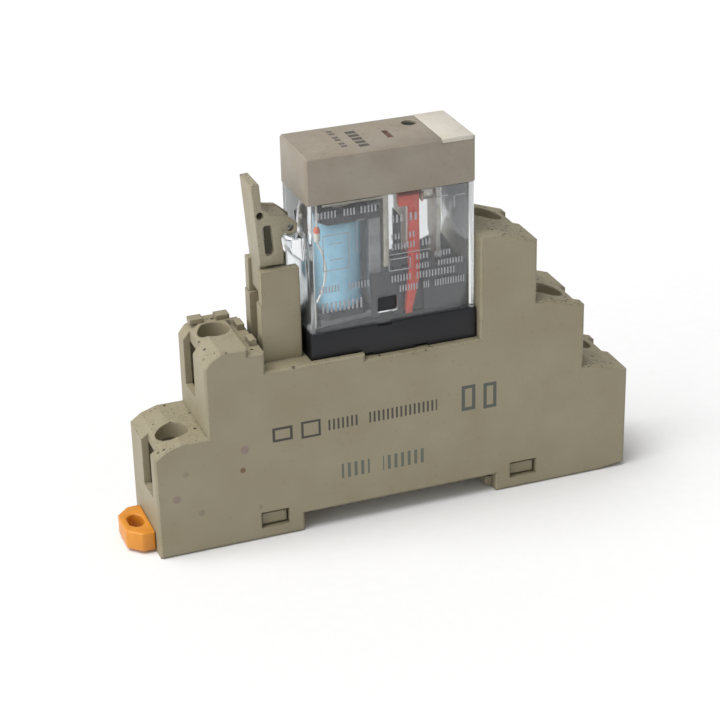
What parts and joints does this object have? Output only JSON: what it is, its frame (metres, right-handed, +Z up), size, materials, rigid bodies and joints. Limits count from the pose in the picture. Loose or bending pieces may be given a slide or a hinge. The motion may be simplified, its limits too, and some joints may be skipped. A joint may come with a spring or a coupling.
{
  "type": "plug-in relay with rail socket",
  "caption": "Clear-cased plug-in relay latched into a stepped screw-terminal socket for 35 mm rail, with hold-down lever, test button and rail slider.",
  "frame": {"origin": "under the middle of the whole assembly, at the level of the feet", "axes": "+X along the socket towards the three-tier end, +Y across it to the far side, +Z up from the rail"},
  "size_m": [0.0896, 0.0154, 0.0658],
  "materials": {
    "socket_plastic": "moulded polyester, beige-grey",
    "lever_plastic": "moulded, beige-grey",
    "slider_plastic": "moulded acetal, orange-yellow",
    "screw_steel": "zinc plated",
    "clamp_steel": "zinc plated, stamped",
    "tinned_brass": "tin plated, stamped",
    "spring_bronze": "phosphor bronze, stamped",
    "base_plastic": "moulded, blue-black",
    "clear_plastic": "clear polycarbonate",
    "cap_plastic": "moulded, beige-grey",
    "label_plastic": "white",
    "board_laminate": "glass epoxy",
    "lamp_resin": "tinted resin",
    "button_plastic": "moulded, near black",
    "spring_steel": "drawn wire and strip",
    "spool_plastic": "moulded, dark grey",
    "coil_tape": "light blue polyester tape",
    "soft_iron": "nickel plated",
    "card_plastic": "moulded, red",
    "contact_copper": "beryllium copper strip",
    "contact_silver": "silver alloy",
    "diode_glass": "glass bead"
  },
  "bodies": {
    "socket": {"socket_housing": "socket_plastic", "base_cover": "socket_plastic", "terminal_strap_low_left": "tinned_brass", "receptacle_low_left": "spring_bronze", "terminal_strap_high_left": "tinned_brass", "receptacle_high_left": "spring_bronze", "terminal_strap_high_right": "tinned_brass", "receptacle_high_right": "spring_bronze", "terminal_strap_mid_right": "tinned_brass", "receptacle_mid_right": "spring_bronze", "terminal_strap_low_right": "tinned_brass", "receptacle_low_right": "spring_bronze"},
    "slider": {"rail_slider": "slider_plastic"},
    "lever": {"hold_down_lever": "lever_plastic"},
    "clamp_low_left": {"clamp_plate_low_left": "clamp_steel"},
    "screw_low_left": {"terminal_screw_low_left": "screw_steel"},
    "clamp_high_left": {"clamp_plate_high_left": "clamp_steel"},
    "screw_high_left": {"terminal_screw_high_left": "screw_steel"},
    "clamp_high_right": {"clamp_plate_high_right": "clamp_steel"},
    "screw_high_right": {"terminal_screw_high_right": "screw_steel"},
    "clamp_mid_right": {"clamp_plate_mid_right": "clamp_steel"},
    "screw_mid_right": {"terminal_screw_mid_right": "screw_steel"},
    "clamp_low_right": {"clamp_plate_low_right": "clamp_steel"},
    "screw_low_right": {"terminal_screw_low_right": "screw_steel"},
    "relay": {"relay_base": "base_plastic", "relay_case": "clear_plastic", "relay_cap": "cap_plastic", "label_plate": "label_plastic", "indicator_board": "board_laminate", "indicator_lamp": "lamp_resin", "button_spring": "spring_steel", "coil_spool": "spool_plastic", "coil_winding": "coil_tape", "coil_core": "soft_iron", "yoke": "soft_iron", "return_spring": "spring_steel", "normally_closed_terminal": "tinned_brass", "normally_open_terminal": "tinned_brass", "common_terminal": "tinned_brass", "normally_closed_contact": "contact_silver", "normally_open_contact": "contact_silver", "contact_block": "spool_plastic", "coil_terminal_front": "tinned_brass", "coil_terminal_back": "tinned_brass", "suppression_diode": "diode_glass", "diode_lead_upper": "tinned_brass", "diode_lead_lower": "tinned_brass"},
    "button": {"test_button": "button_plastic"},
    "armature": {"armature": "soft_iron"},
    "card": {"contact_card": "card_plastic"},
    "contact": {"contact_spring": "contact_copper", "moving_contact": "contact_silver"}
  },
  "joints": [
    {"name": "lever_swing", "type": "hinge", "parent": "socket", "child": "lever", "pos_m": [-0.01725, 0, 0.0326], "axis": [0, -1, 0], "range_deg": [0, 40]},
    {"name": "relay_lift", "type": "slide", "parent": "socket", "child": "relay", "axis": [0, 0, 1], "range_m": [0, 0.00419]},
    {"name": "slider_pull", "type": "slide", "parent": "socket", "child": "slider", "axis": [-1, 0, 0], "range_m": [0, 0.003], "stiffness_N_per_m": 600, "springref_m": -0.0005},
    {"name": "button_press", "type": "slide", "parent": "relay", "child": "button", "axis": [0, 0, -1], "range_m": [0, 0.0012], "stiffness_N_per_m": 250, "springref_m": -0.0004, "deforming": ["button_spring"]},
    {"name": "armature_rock", "type": "hinge", "parent": "relay", "child": "armature", "pos_m": [0.00085, 0, 0.05545], "axis": [0, -1, 0], "range_deg": [0, 2], "stiffness_Nm_per_rad": 0.02, "springref_deg": -1.15},
    {"name": "card_tilt", "type": "hinge", "parent": "relay", "child": "card", "pos_m": [0.00495, 0, 0.03605], "axis": [0, 1, 0], "range_deg": [0, 2.6]},
    {"name": "contact_flex", "type": "hinge", "parent": "relay", "child": "contact", "pos_m": [0.00765, 0, 0.04245], "axis": [0, 1, 0], "range_deg": [0, 3.65]},
    {"name": "clamp_low_left_lift", "type": "slide", "parent": "socket", "child": "clamp_low_left", "axis": [0, 0, -1], "range_m": [0, 0.004]},
    {"name": "screw_low_left_turn", "type": "hinge", "parent": "clamp_low_left", "child": "screw_low_left", "pos_m": [-0.03575, -0.0023, 0.0103], "axis": [0, 0, -1], "range_deg": [0, 2881]},
    {"name": "clamp_high_left_lift", "type": "slide", "parent": "socket", "child": "clamp_high_left", "axis": [0, 0, -1], "range_m": [0, 0.004]},
    {"name": "screw_high_left_turn", "type": "hinge", "parent": "clamp_high_left", "child": "screw_high_left", "pos_m": [-0.02655, 0.0016, 0.0252], "axis": [0, 0, -1], "range_deg": [0, 2881]},
    {"name": "clamp_high_right_lift", "type": "slide", "parent": "socket", "child": "clamp_high_right", "axis": [0, 0, -1], "range_m": [0, 0.004]},
    {"name": "screw_high_right_turn", "type": "hinge", "parent": "clamp_high_right", "child": "screw_high_right", "pos_m": [0.02225, 0.0027, 0.0379], "axis": [0, 0, -1], "range_deg": [0, 2881]},
    {"name": "clamp_mid_right_lift", "type": "slide", "parent": "socket", "child": "clamp_mid_right", "axis": [0, 0, -1], "range_m": [0, 0.004]},
    {"name": "screw_mid_right_turn", "type": "hinge", "parent": "clamp_mid_right", "child": "screw_mid_right", "pos_m": [0.03125, -0.0027, 0.0245], "axis": [0, 0, -1], "range_deg": [0, 2881]},
    {"name": "clamp_low_right_lift", "type": "slide", "parent": "socket", "child": "clamp_low_right", "axis": [0, 0, -1], "range_m": [0, 0.004]},
    {"name": "screw_low_right_turn", "type": "hinge", "parent": "clamp_low_right", "child": "screw_low_right", "pos_m": [0.03975, 0.0027, 0.0107], "axis": [0, 0, -1], "range_deg": [0, 2881]}
  ],
  "couplings": [
    {"joint": "lever_swing", "follows": "relay_lift", "rad_per_m": 166.67},
    {"joint": "card_tilt", "follows": "armature_rock", "ratio": 1.23},
    {"joint": "contact_flex", "follows": "armature_rock", "ratio": 1.8},
    {"joint": "screw_low_left_turn", "follows": "clamp_low_left_lift", "rad_per_m": 12566},
    {"joint": "screw_high_left_turn", "follows": "clamp_high_left_lift", "rad_per_m": 12566},
    {"joint": "screw_high_right_turn", "follows": "clamp_high_right_lift", "rad_per_m": 12566},
    {"joint": "screw_mid_right_turn", "follows": "clamp_mid_right_lift", "rad_per_m": 12566},
    {"joint": "screw_low_right_turn", "follows": "clamp_low_right_lift", "rad_per_m": 12566}
  ]
}
